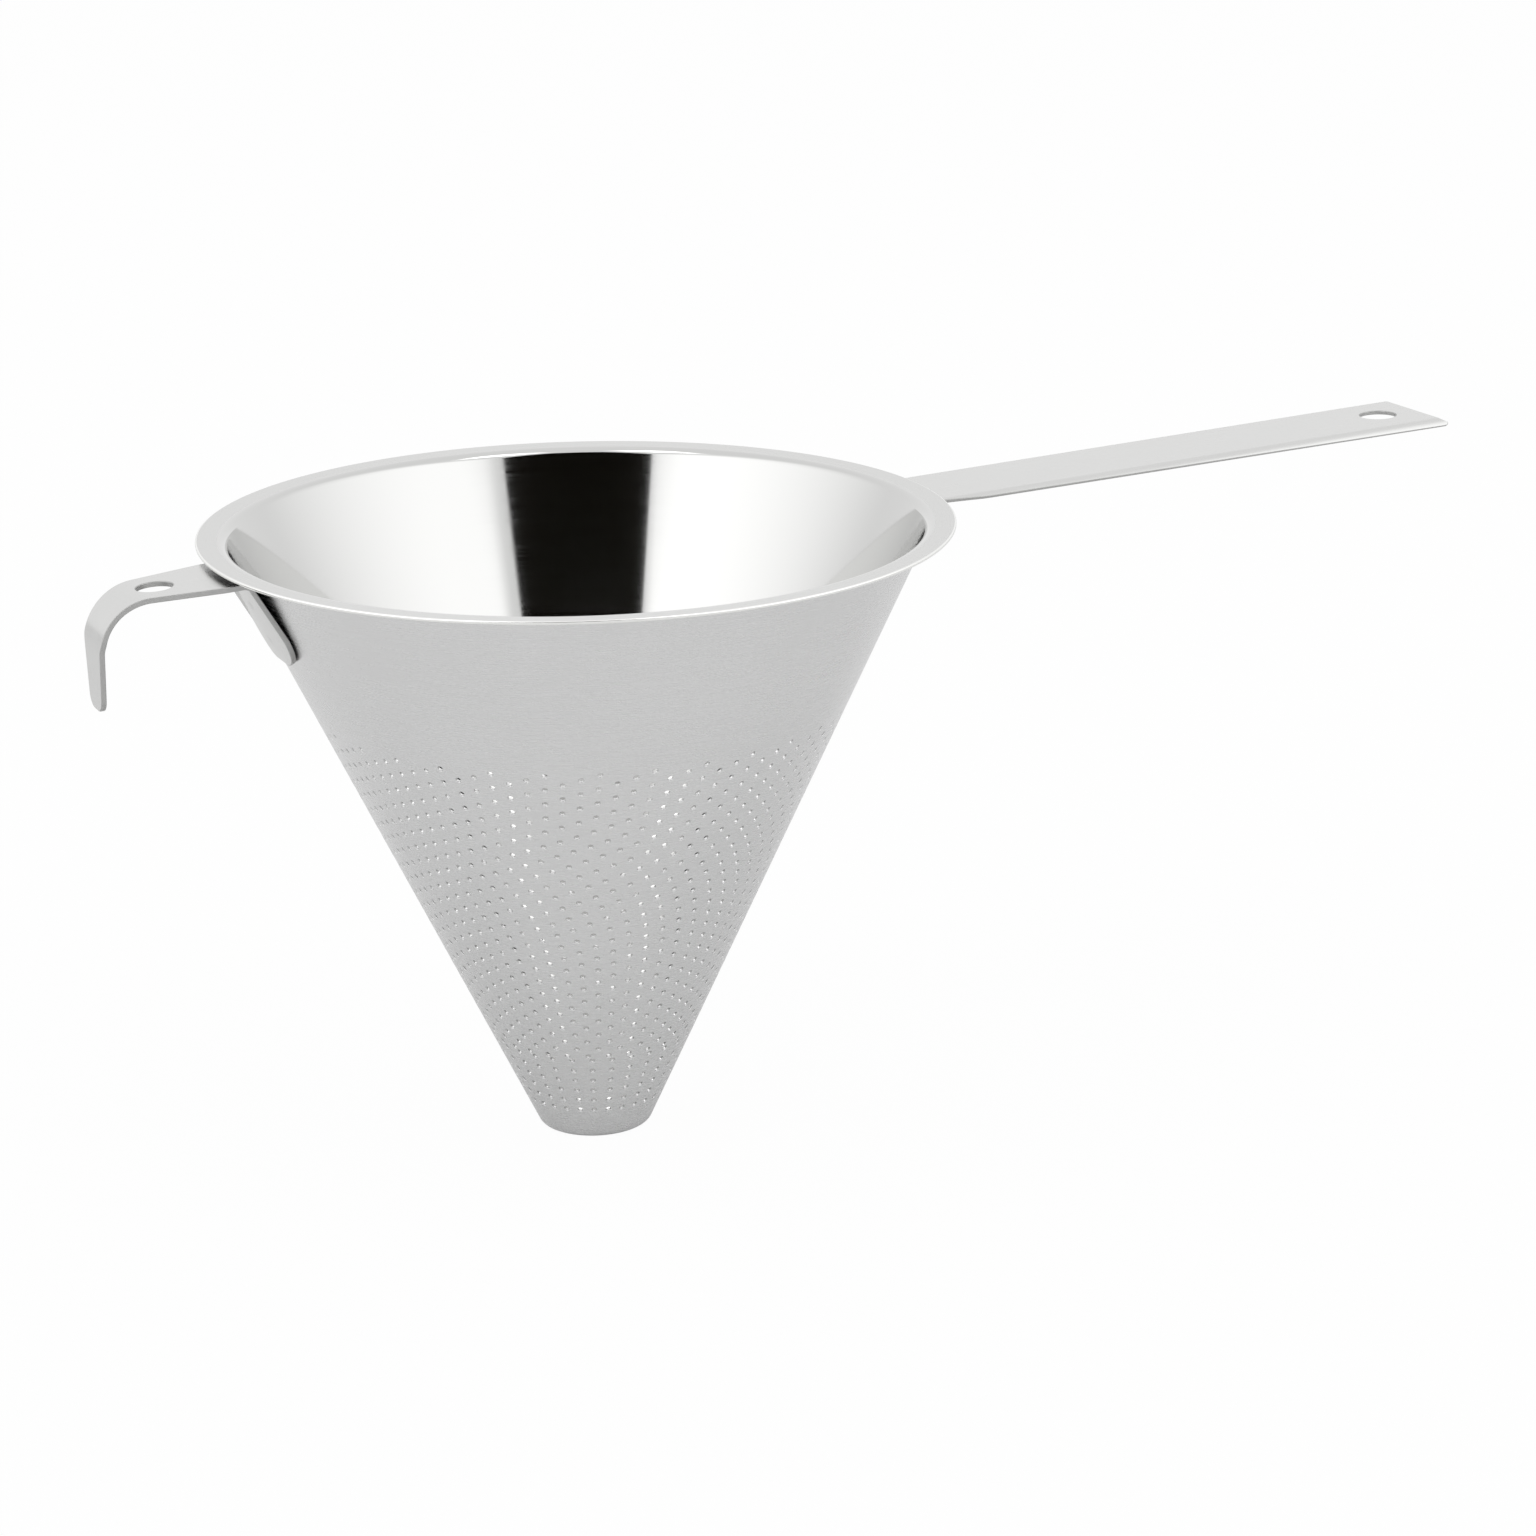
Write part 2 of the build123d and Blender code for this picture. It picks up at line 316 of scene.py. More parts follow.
def brushed(tree, grain, grain_share, cloud_size, light, dark, roughness, lift, more=None):
    """Shader of brushed steel, from the noise of its fine grain and a broad cloud.

    The grain gives grain_share of the tone and the bump, whose strength is lift. The cloud's size is
    in millimetres. More holds other sockets of the shader.
    """
    grain_depth = 0.02
    gloss_spread = 0.2
    place = add(tree, "ShaderNodeTexCoord").outputs["Object"]
    cloud_sockets = {"Vector": place, "Scale": 1 / (cloud_size * mm), "Detail": 2.0}
    cloud = add(tree, "ShaderNodeTexNoise", cloud_sockets)
    part = add(tree, "ShaderNodeMath", {0: grain.outputs[0], 1: grain_share}, operation="MULTIPLY")
    tone = add(
        tree,
        "ShaderNodeMath",
        {0: cloud.outputs[0], 1: 1 - grain_share, 2: part.outputs[0]},
        operation="MULTIPLY_ADD",
    )
    shades = {0: tone.outputs[0], 6: linear(dark), 7: linear(light)}
    colour = add(tree, "ShaderNodeMix", shades, data_type="RGBA")
    smoothest = roughness * (1 - gloss_spread)
    roughest = roughness * (1 + gloss_spread)
    rough = add(
        tree, "ShaderNodeMapRange", {0: tone.outputs[0], 1: 0.2, 2: 0.8, 3: smoothest, 4: roughest}
    )
    bump = add(
        tree,
        "ShaderNodeBump",
        {"Strength": lift, "Distance": grain_depth * mm, "Height": grain.outputs[0]},
    )
    shader = add(
        tree,
        "ShaderNodeBsdfPrincipled",
        {
            "Base Color": colour.outputs[2],
            "Metallic": 1.0,
            "Roughness": rough.outputs[0],
            "Normal": bump.outputs[0],
            **(more or {}),
        },
    )
    add(tree, "ShaderNodeOutputMaterial", {"Surface": shader.outputs[0]})


def brushed_rings(name, light, dark, roughness, grain, grain_length, anisotropy, lift):
    """Brushed steel with rings of grain round the axis."""
    grain_share = 0.7
    cloud_size = 35.7
    material, tree = new_material(name)
    rings_place = ring_coordinates(tree, grain, grain_length).outputs[0]
    lines = add(tree, "ShaderNodeTexNoise", {"Vector": rings_place, "Scale": 1.0, "Detail": 3.0})
    tangent = add(tree, "ShaderNodeTangent", direction_type="RADIAL", axis="Z")
    drawn_out = {"Anisotropic": anisotropy, "Tangent": tangent.outputs[0]}
    brushed(tree, lines, grain_share, cloud_size, light, dark, roughness, lift, drawn_out)
    return material


# Stainless steel, brushed while it turned on the lathe: a satin grey with fine rings round the
# cone, which draw each highlight out into a streak down the wall.
satin_steel = brushed_rings(
    "lathe_brushed_stainless",
    light="#E2E2E2",
    dark="#D5D5D5",
    roughness=0.27,
    grain=0.35,
    grain_length=14.0,
    anisotropy=0.55,
    lift=0.5,
)

# The rim's upper side gets a belt finish, a little paler and finer.
rim_steel = brushed_rings(
    "belt_finished_rim_stainless",
    light="#DADAD9",
    dark="#CCCCCB",
    roughness=0.3,
    grain=0.25,
    grain_length=20.0,
    anisotropy=0.3,
    lift=0.4,
)

# Mirror-polished stainless: sharp dark and white reflections, a little softened by the fine rings
# that polishing on the lathe leaves.
polish_grain = 0.4
polish_grain_length = 30.0


def polished(name, colour, smoothest, roughest):
    """Polished steel whose gloss varies a little in rings round the axis."""
    material, tree = new_material(name)
    rings_place = ring_coordinates(tree, polish_grain, polish_grain_length).outputs[0]
    lines = add(tree, "ShaderNodeTexNoise", {"Vector": rings_place, "Scale": 1.0, "Detail": 3.0})
    rough = add(
        tree,
        "ShaderNodeMapRange",
        {0: lines.outputs[0], 1: 0.3, 2: 0.7, 3: smoothest, 4: roughest},
    )
    shader = add(
        tree,
        "ShaderNodeBsdfPrincipled",
        {"Base Color": linear(colour), "Metallic": 1.0, "Roughness": rough.outputs[0]},
    )
    add(tree, "ShaderNodeOutputMaterial", {"Surface": shader.outputs[0]})
    return material


mirror_steel = polished("mirror_polished_stainless", "#CFCFCE", 0.05, 0.1)

# The rim's rounded edge is buffed, and its colour is painted paler than the steel can be, a painted
# highlight that draws a thin white line round the mouth.
painted_highlight_rim_edge_steel = polished("buffed_rim_edge_painted_highlight_stainless", "#F0F0EE", 0.12, 0.2)

# Sheared steel: where a punch or shear has cut the sheet, the edge is a duller, rougher grey, and its darker
# colour is painted shade that stands in for the dark surroundings the edges would mirror.
shear_grain = 0.3


def sheared(name, light, dark, roughness):
    """Matt steel of a cut edge, with a fine uneven grain, in a darker grey that is partly painted shade."""
    material, tree = new_material(name)
    place = add(tree, "ShaderNodeTexCoord").outputs["Object"]
    torn_sockets = {"Vector": place, "Scale": 1 / (shear_grain * mm), "Detail": 2.0}
    torn = add(tree, "ShaderNodeTexNoise", torn_sockets)
    shades = {0: torn.outputs[0], 6: linear(dark), 7: linear(light)}
    colour = add(tree, "ShaderNodeMix", shades, data_type="RGBA")
    shader = add(
        tree,
        "ShaderNodeBsdfPrincipled",
        {"Base Color": colour.outputs[2], "Metallic": 1.0, "Roughness": roughness},
    )
    add(tree, "ShaderNodeOutputMaterial", {"Surface": shader.outputs[0]})
    return material


# Cut edges in a darker grey: partly duller sheared steel, partly painted shade.
sheared_edge_painted_shade_steel = sheared("sheared_stainless_edge_with_painted_shade", "#C0C0BF", "#A6A6A5", 0.45)


def arc(centre, radius, start, end, steps):
    """Points and outward directions of an arc, with angles in degrees, in radius and height."""
    turn = np.radians(np.linspace(start, end, steps + 1))
    ray = np.stack([np.cos(turn), np.sin(turn)], 1)
    return np.array(centre) + radius * ray, ray


def on_cone(points, depth):
    """Places points of the unrolled wall, whose origin is the apex, at a depth below its outside."""
    slant = np.hypot(points[:, 0], points[:, 1])
    azimuth = np.arctan2(points[:, 0], points[:, 1]) / math.sin(half_angle)
    radius = slant * math.sin(half_angle) - depth * math.cos(half_angle)
    height = slant * math.cos(half_angle) - apex_depth + depth * math.sin(half_angle)
    return np.stack([radius * np.cos(azimuth), radius * np.sin(azimuth), height], 1)


def unrolled(slant, azimuth):
    """Point of the unrolled wall from a slant distance and an azimuth in degrees."""
    turn = np.radians(azimuth - rings[0, 1]) * math.sin(half_angle)
    return np.stack([slant * np.sin(turn), slant * np.cos(turn)], -1)


rings = hole_rings()
zone_top = rings[0, 0] + zone_margin
zone_bottom = rings[-1, 0] - zone_margin
edge_steps = ring_segments // holes_in_ring
side_slants = np.concatenate([[zone_top], rings[:, 0], [zone_bottom]])
side_azimuths = np.concatenate([[rings[0, 1]], rings[:, 1], [rings[-1, 1]]]) - sector / 2
side_count = len(side_slants)
steps = np.arange(1, edge_steps) * sector / edge_steps
left_side = unrolled(side_slants, side_azimuths)
bottom_edge = unrolled(np.full(edge_steps - 1, zone_bottom), side_azimuths[-1] + steps)
right_side = unrolled(side_slants, side_azimuths + sector)[::-1]
top_edge = unrolled(np.full(edge_steps - 1, zone_top), side_azimuths[0] + steps)[::-1]
zone_loop = np.concatenate([left_side, bottom_edge, right_side, top_edge])
hole_loops = [circle(unrolled(s, a), hole_radius, hole_sides) for s, a in rings]
no_points = np.zeros((0, 2))
points, normals, _, outer, inner, edges = sheet_shell(
    [zone_loop] + hole_loops, no_points, on_cone, cone_sheet, hole_edge_radius, cut_first=False
)

# The sector of holes is turned round the axis, each right side sharing the next left side.
flat_count = len(zone_loop) + sum(len(loop) for loop in hole_loops)
loop_count = len(zone_loop)
right_start = side_count + edge_steps - 1
right_ranks = right_start + np.arange(side_count)
size = len(points)
turned_points = []
turned_normals = []
outer_faces = []
inner_faces = []
edge_faces = []
base_turn = math.radians(rings[0, 1])
for count in range(holes_in_ring):
    turn = base_turn + math.radians(sector * count)
    spin = np.array([[math.cos(turn), -math.sin(turn), 0], [math.sin(turn), math.cos(turn), 0], [0, 0, 1]])
    turned_points.append(points @ spin.T)
    turned_normals.append(normals @ spin.T)
    number = np.arange(size) + count * size
    following = ((count + 1) % holes_in_ring) * size
    for shift in (0, flat_count):
        number[right_ranks + shift] = following + shift + np.arange(side_count)[::-1]
    outer_faces.append(number[outer])
    inner_faces.append(number[inner])
    edge_faces.append(number[edges])


def zone_ring(first_rank, between, shift):
    """Numbers of the zone's vertices all the way round one of its borders."""
    ranks = np.concatenate([[first_rank], between]) + shift
    return np.concatenate([ranks + count * size for count in range(holes_in_ring)])


top_between = np.arange(loop_count - 1, loop_count - edge_steps, -1)
bottom_between = side_count + np.arange(edge_steps - 1)
all_points = np.concatenate(turned_points)
all_normals = np.concatenate(turned_normals)


def spin_profile(profile, directions, azimuth):
    """Adds rows of vertices round the axis for a profile of radius and height."""
    global all_points, all_normals
    turn = np.radians(azimuth + np.arange(ring_segments) * 360 / ring_segments)
    rows = []
    for (radius, height), (out, up) in zip(profile, directions):
        row = np.stack([radius * np.cos(turn), radius * np.sin(turn), np.full_like(turn, height)], 1)
        lean = np.stack([out * np.cos(turn), out * np.sin(turn), np.full_like(turn, up)], 1)
        number = len(all_points) + np.arange(ring_segments)
        if radius == 0:
            row, lean = row[:1], lean[:1]
            number = np.full(ring_segments, len(all_points))
        all_points = np.concatenate([all_points, row])
        all_normals = np.concatenate([all_normals, lean])
        rows.append(number)
    return rows


def join_rows(rows):
    """Quads between rows that run round the axis."""
    quads = [
        np.stack([upper, lower, np.roll(lower, -1), np.roll(upper, -1)], 1)
        for upper, lower in zip(rows[:-1], rows[1:])
    ]
    return np.concatenate(quads)


# Tip: from the wall round the corner and across the flat, outside and inside.
tip_corner_steps = 7
corner_reach = tip_corner_radius * math.tan((math.pi / 2 - half_angle) / 2)
corner_centre = (tip_radius - corner_reach, tip_corner_radius)
tip_rows = []
for depth, sign in ((0.0, 1), (cone_sheet, -1)):
    corner, rays = arc(
        corner_centre, tip_corner_radius - depth, -cone_half_angle, -90, tip_corner_steps
    )
    flat_radii = corner_centre[0] * np.linspace(0.75, 0, 4)
    bottom = np.stack([flat_radii, np.full(len(flat_radii), depth)], 1)
    profile = np.concatenate([corner, bottom])
    directions = np.concatenate([rays, np.tile([0, -1], (len(bottom), 1))]) * sign
    border = zone_ring(side_count - 1, bottom_between, 0 if depth == 0 else flat_count)
    tip_rows.append([border] + spin_profile(profile, directions, side_azimuths[-1]))

# Rim: from the outer wall round the bend, out to the edge and back over the top to the mirror.
under_bend_steps = 8
over_bend_steps = 10
rim_edge_steps = 4
wall_out = np.array([math.cos(half_angle), -math.sin(half_angle)])
slope = math.radians(rim_slope)
rim_edge = np.array([rim_radius, rim_height - cone_sheet / math.cos(slope)])
rim_along = np.array([math.cos(slope), math.sin(slope)])
rim_up = np.array([-math.sin(slope), math.cos(slope)])
wall_foot = np.array([tip_radius, 0.0])
wall_along = np.array([math.sin(half_angle), math.cos(half_angle)])
meet = np.linalg.solve(np.stack([wall_along, -rim_along], 1), rim_edge - wall_foot)
bend_corner = wall_foot + wall_along * meet[0]
bend_turn = math.pi / 2 - half_angle - slope
bend_start = bend_corner - wall_along * rim_bend_radius * math.tan(bend_turn / 2)
bend_centre = bend_start + wall_out * rim_bend_radius
under_bend, under_rays = arc(
    bend_centre, rim_bend_radius, 180 - cone_half_angle, 90 + rim_slope, under_bend_steps
)
over_bend, over_rays = arc(
    bend_centre,
    rim_bend_radius + cone_sheet,
    90 + rim_slope,
    180 - cone_half_angle,
    over_bend_steps,
)
edge_foot = rim_edge - rim_along * rim_edge_radius
lower_centre = edge_foot + rim_up * rim_edge_radius
upper_centre = edge_foot + rim_up * (cone_sheet - rim_edge_radius)
lower_edge, lower_rays = arc(
    lower_centre, rim_edge_radius, rim_slope - 90, rim_slope, rim_edge_steps
)
upper_edge, upper_rays = arc(
    upper_centre, rim_edge_radius, rim_slope, rim_slope + 90, rim_edge_steps
)
under_profile = np.concatenate([under_bend, lower_edge, upper_edge])
under_directions = np.concatenate([-under_rays, lower_rays, upper_rays])
flange_start = over_bend[0]
mirror_edge = flange_start + rim_along * (mirror_radius - flange_start[0]) / rim_along[0]
top_profile = np.concatenate([[mirror_edge], over_bend])
top_directions = np.concatenate([[rim_up], over_rays])
outer_border = zone_ring(0, top_between, 0)
inner_border = zone_ring(0, top_between, flat_count)
under_rows = [outer_border] + spin_profile(under_profile, under_directions, side_azimuths[0])
top_rows = spin_profile(top_profile, top_directions, side_azimuths[0])
edge_row = 1 + len(under_bend)

cone_groups = [
    (np.concatenate(outer_faces), satin_steel),
    (np.concatenate(edge_faces), satin_steel),
    (join_rows(tip_rows[0]), satin_steel),
    (join_rows(under_rows[: edge_row + 1]), satin_steel),
    # The rim's rounded edge: painted highlight, a paler steel colour.
    (join_rows(under_rows[edge_row:]), painted_highlight_rim_edge_steel),
    (join_rows([under_rows[-1], top_rows[0]]), rim_steel),
    (np.concatenate(inner_faces), mirror_steel),
    (join_rows(tip_rows[1]), mirror_steel),
    (join_rows(top_rows + [inner_border]), mirror_steel),
]
cone = make_mesh("perforated_cone", all_points, all_normals, cone_groups)
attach(cone, "root")
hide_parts("strainer_cone")

# Handle.
# One strip of stainless sheet: its foot is a wide tab that stands against the wall, a bend under
# the rim turns it outwards, and from there its long edges are rolled down more and more. A round
# hanging hole is punched near the free end.
handle_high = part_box("handle")[1]
handle_sheet = 1.2
handle_reach = handle_high.x / mm
handle_rise = 1.95
handle_flat_width = 27.0
handle_roll_radius = 3.5
handle_bend_radius = 3.5
handle_tab_length = 60.0
handle_neck_half_width = 14.8
handle_tab_half_width = handle_high.y / mm
handle_tab_shoulder = 9.0
handle_tab_corner = 10.0
handle_end_corner = 1.2
hang_hole_radius = 5.5
hang_hole_inset = 14.7
handle_roll_lengths = np.array([0.0, 4.0, 20.0, 175.0])
handle_roll_angles = np.radians([0.0, 22.0, 46.0, 66.0])
strip_edge_radius = 0.28
seat_gap = 0.25
strip_clearance = 1.4
weld_mark_radius = 1.5
weld_mark_depth = 0.3
weld_mark_fade = 1.25
weld_mark_clear = 1.4
weld_mark_rings = (0.0, 0.25, 0.5, 0.75, 1.0, 1.25)
weld_mark_sides = 24
tab_hug = 0.75
tab_hug_fade = 5.0
strip_level = rim_edge[1] - strip_clearance


def bent_line(corners, radii, steps=24):
    """Line through corners whose inner ones are rounded: points, and the direction at each."""
    corners = np.array(corners, float)
    points = [corners[0]]
    headings = []
    for before, corner, after, radius in zip(corners[:-2], corners[1:-1], corners[2:], radii):
        start = math.atan2(*(corner - before)[::-1])
        end = math.atan2(*(after - corner)[::-1])
        turn = (end - start + math.pi) % (2 * math.pi) - math.pi
        sign = math.copysign(1, turn)
        back = radius * math.tan(abs(turn) / 2)
        first = corner - back * np.array([math.cos(start), math.sin(start)])
        centre = first + sign * radius * np.array([-math.sin(start), math.cos(start)])
        swing = start + np.linspace(0, turn, steps + 1)
        points += list(centre + sign * radius * np.stack([np.sin(swing), -np.cos(swing)], 1))
        headings += ([start] if not headings else []) + list(swing)
    points.append(corners[-1])
    headings.append(headings[-1])
    return np.array(points), np.unwrap(headings)


def strip_place(line, headings, tab_length, flat_width, roll_radius, roll, marks, sheet, turn):
    """Function that puts flat points of a strip in space, along a line in radius and height.

    The sides of its tab are pressed towards the round wall. Edges past the flat width roll down
    through at most roll(length). Marks are shallow dents in the far side, and turn is the azimuth
    of the strip.
    """
    lengths = np.concatenate([[0], np.cumsum(np.linalg.norm(np.diff(line, axis=0), axis=1))])

    def place(points, depth):
        along, across = points[:, 0], points[:, 1]
        heading = np.interp(along, lengths, headings)
        overshoot = along - np.clip(along, 0, lengths[-1])
        radius = np.interp(along, lengths, line[:, 0]) + overshoot * np.cos(heading)
        height = np.interp(along, lengths, line[:, 1]) + overshoot * np.sin(heading)
        beyond = np.maximum(np.abs(across) - flat_width / 2, 0)
        bend = np.minimum(beyond / roll_radius, roll(along))
        straight = beyond - bend * roll_radius
        side = np.sign(across) * (
            np.minimum(np.abs(across), flat_width / 2)
            + roll_radius * np.sin(bend)
            + straight * np.cos(bend)
        )
        drop = roll_radius * (1 - np.cos(bend)) + straight * np.sin(bend)
        dent = np.zeros(len(points))
        for mark in marks:
            distance = np.hypot(along - mark, across)
            dent += weld_mark_depth * smooth(weld_mark_fade - distance / weld_mark_radius)
        inward = depth - dent * depth / sheet
        down = drop + inward * np.cos(bend)
        side = side - inward * np.sin(bend) * np.sign(across)
        hug = tab_hug * smooth((tab_length - along) / tab_hug_fade) * side**2 / (2 * radius)
        radius = radius + down * np.sin(heading) - hug
        height = height - down * np.cos(heading)
        cos_turn, sin_turn = math.cos(turn), math.sin(turn)
        return np.stack(
            [radius * cos_turn - side * sin_turn, radius * sin_turn + side * cos_turn, height], 1
        )

    return place, lengths


def strip_outline(half):
    """Closed outline of a strip from the points of its half with positive across."""
    half = np.array(half)
    return np.concatenate([half * [1, -1], half[::-1]])


def strip_points(lengths_along, half_width, flat_width, loops, marks, clear):
    """Points inside a strip that follow its bends and rolled edges, clear of its edges."""
    found = []
    for along in lengths_along:
        edge = half_width(along)
        flat = min(flat_width / 2, edge)
        shares = np.linspace(0, 1, 5)[1:-1] if edge > flat + clear else []
        rows = list(np.linspace(0, flat, 5)) + [flat + (edge - flat) * share for share in shares]
        found += [(along, sign * row) for row in rows for sign in (1, -1) if row or sign > 0]
    for mark in marks:
        for share in weld_mark_rings:
            sides = weld_mark_sides if share else 1
            found += list(circle((mark, 0), weld_mark_radius * share, sides))
    found = np.array(found)
    keep = np.ones(len(found), bool)
    for loop in loops:
        dense = np.concatenate([loop + (np.roll(loop, -1, 0) - loop) * share for share in (0, 0.5)])
        gaps = np.linalg.norm(found[:, None] - dense[None], axis=2)
        keep &= gaps.min(1) > clear
    for mark in marks:
        gap = np.hypot(found[:, 0] - mark, found[:, 1]) / weld_mark_radius
        ring = np.isclose(gap[:, None], weld_mark_rings).any(1)
        keep &= ring | (gap > weld_mark_clear)
    return found[keep]


def meeting_height(level_at_rim, tilt):
    """Height where the line of a tab meets a strip that passes the rim at that level."""
    flare = math.tan(half_angle)
    return (level_at_rim - (rim_radius - tab_radius) * tilt) / (1 - flare * tilt)


def tab_point(height):
    """Radius and height on the side of a tab that faces the wall."""
    return (tab_radius + height * math.tan(half_angle), height)


tab_radius = tip_radius + seat_gap / math.cos(half_angle)
handle_tilt = math.tan(math.radians(handle_rise))
handle_corner = meeting_height(strip_level, handle_tilt)
handle_foot = handle_corner - handle_tab_length * math.cos(half_angle)
handle_line, handle_headings = bent_line(
    [
        tab_point(handle_foot),
        tab_point(handle_corner),
        (handle_reach, strip_level + (handle_reach - rim_radius) * handle_tilt),
    ],
    [handle_bend_radius + handle_sheet],
)
handle_bend_end = np.linalg.norm(np.diff(handle_line[:-1], axis=0), axis=1).sum()


def handle_roll(along):
    """Angle through which the handle's edges are rolled down at a length along it."""
    return np.interp(along - handle_bend_end, handle_roll_lengths, handle_roll_angles)


def handle_half_width(along):
    """Half the flat width of the handle's blank."""
    if along <= handle_tab_length / 2:
        return handle_tab_half_width
    rolled = handle_flat_width / 2 + handle_roll_radius * handle_roll(along)
    return np.maximum(rolled, handle_neck_half_width)


handle_marks = [12.0, 26.0, 40.0]
place_handle, handle_lengths = strip_place(
    handle_line,
    handle_headings,
    handle_tab_length,
    handle_flat_width,
    handle_roll_radius,
    handle_roll,
    handle_marks,
    handle_sheet,
    0.0,
)
handle_length = handle_lengths[-1]
half_tab = bent_line(
    [
        (0, 0),
        (0, handle_tab_half_width),
        (handle_tab_length - 2 * handle_tab_shoulder, handle_tab_half_width),
        (handle_tab_length - handle_tab_shoulder, handle_neck_half_width),
        (handle_bend_end, handle_neck_half_width),
    ],
    [handle_tab_corner, handle_tab_shoulder / 2, handle_tab_shoulder / 2],
    12,
)[0]
handle_row_pitch = 2.5
roll_steps = np.arange(
    handle_bend_end + 2, handle_length - 2 * handle_end_corner, handle_row_pitch
)
end_half_width = handle_half_width(handle_length)
half_end = bent_line(
    [
        (handle_length - 2 * handle_end_corner, end_half_width),
        (handle_length, end_half_width),
        (handle_length, 0),
    ],
    [handle_end_corner],
    8,
)[0]
half_rolled = [(along, handle_half_width(along)) for along in roll_steps]
handle_outline = strip_outline(list(half_tab[1:]) + half_rolled + list(half_end[:-1]))
hang_hole = circle((handle_length - hang_hole_inset, 0), hang_hole_radius, 64)
handle_rows = np.concatenate(
    [
        np.arange(handle_row_pitch, handle_tab_length - 6, handle_row_pitch),
        np.linspace(handle_tab_length - 5, handle_bend_end, 16),
        np.arange(handle_bend_end + 1.5, handle_length - 1, handle_row_pitch),
    ]
)
handle_inner_points = strip_points(
    handle_rows,
    handle_half_width,
    handle_flat_width,
    [handle_outline, hang_hole],
    handle_marks,
    clear=0.55,
)
points, normals, layout, outer, inner, edges = sheet_shell(
    [handle_outline, hang_hole], handle_inner_points, place_handle, handle_sheet, strip_edge_radius
)


def brushed_strip(name, light, dark, roughness, grain, grain_length, lift):
    """Brushed steel whose grain runs along a strip."""
    grain_share = 0.75
    cloud_size = 16.7
    material, tree = new_material(name)
    place = add(tree, "ShaderNodeAttribute", attribute_name="strip_place")
    across = 1 / (grain * mm)
    stretched = add(
        tree,
        "ShaderNodeVectorMath",
        {0: place.outputs["Vector"], 1: (1 / (grain_length * mm), across, across)},
        operation="MULTIPLY",
    )
    lines_sockets = {"Vector": stretched.outputs[0], "Scale": 1.0, "Detail": 3.0}
    lines = add(tree, "ShaderNodeTexNoise", lines_sockets)
    brushed(tree, lines, grain_share, cloud_size, light, dark, roughness, lift)
    return material


# Stainless strip, brushed lengthwise on a belt: a satin grey with fine straight lines.
strip_steel = brushed_strip(
    "lengthwise_brushed_stainless",
    light="#D9D9D8",
    dark="#CBCBCA",
    roughness=0.25,
    grain=0.22,
    grain_length=30.0,
    lift=0.4,
)
# The handle's cut edges and hole wall take the darker grey of painted shade.
handle_groups = [(outer, strip_steel), (inner, strip_steel), (edges, sheared_edge_painted_shade_steel)]
handle = make_mesh("strip_handle", points, normals, handle_groups, layout)
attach(handle, "root")
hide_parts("handle")

# Rest hook.
# One thicker strip of the same steel opposite the handle: a tab with a rounded foot against the
# wall, a level stretch with a hole, and an elbow into a short tapered leg with a rounded tip.
hook_low, hook_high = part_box("rest_hook")
hook_sheet = 1.5
hook_reach = -hook_low.x / mm
hook_fall = 3.15
hook_root_half_width = hook_high.y / mm
hook_elbow_half_width = 8.5
hook_leg_half_width = 7.5
hook_tip_half_width = 5.6
hook_root_bend_radius = 3.5
hook_elbow_radius = 13.7
hook_tip_level = hook_low.z / mm
hook_tip_corner = 4.0
hook_tab_length = 28.5
hook_tab_corner = 10.0
hook_hole_radius = 5.0
hook_hole_offset = 16.0
hook_marks = [7.0, 18.3]
hook_bend_steps = 32
unrolled_width = 4 * hook_root_half_width

hook_tilt = -math.tan(math.radians(hook_fall))
hook_corner = meeting_height(strip_level, hook_tilt)
hook_foot = hook_corner - hook_tab_length * math.cos(half_angle)
hook_elbow_level = strip_level + (hook_reach - rim_radius) * hook_tilt
hook_line, hook_headings = bent_line(
    [
        tab_point(hook_foot),
        tab_point(hook_corner),
        (hook_reach, hook_elbow_level),
        (hook_reach, hook_tip_level),
    ],
    [hook_root_bend_radius + hook_sheet, hook_elbow_radius + hook_sheet],
    hook_bend_steps,
)
root_bend_end = hook_bend_steps + 1


def no_roll(along):
    """The hook's edges stay flat."""
    return np.zeros_like(along)


place_hook, hook_lengths = strip_place(
    hook_line,
    hook_headings,
    hook_tab_length,
    unrolled_width,
    1.0,
    no_roll,
    hook_marks,
    hook_sheet,
    math.pi,
)
hook_length = hook_lengths[-1]


def hook_half_width(along):
    """Half the width of the hook's blank: even at its root, then tapered to the tip."""
    radius = np.interp(along, hook_lengths, hook_line[:, 0])
    height = np.interp(along, hook_lengths, hook_line[:, 1])
    plan = np.interp(radius, [rim_radius, hook_reach], [hook_root_half_width, hook_elbow_half_width])
    leg = np.interp(
        height,
        [hook_tip_level, hook_elbow_level - hook_elbow_radius, strip_level],
        [hook_tip_half_width, hook_leg_half_width, hook_root_half_width],
    )
    on_tab = along < hook_tab_length
    return np.where(on_tab, hook_root_half_width, np.minimum(plan, leg))


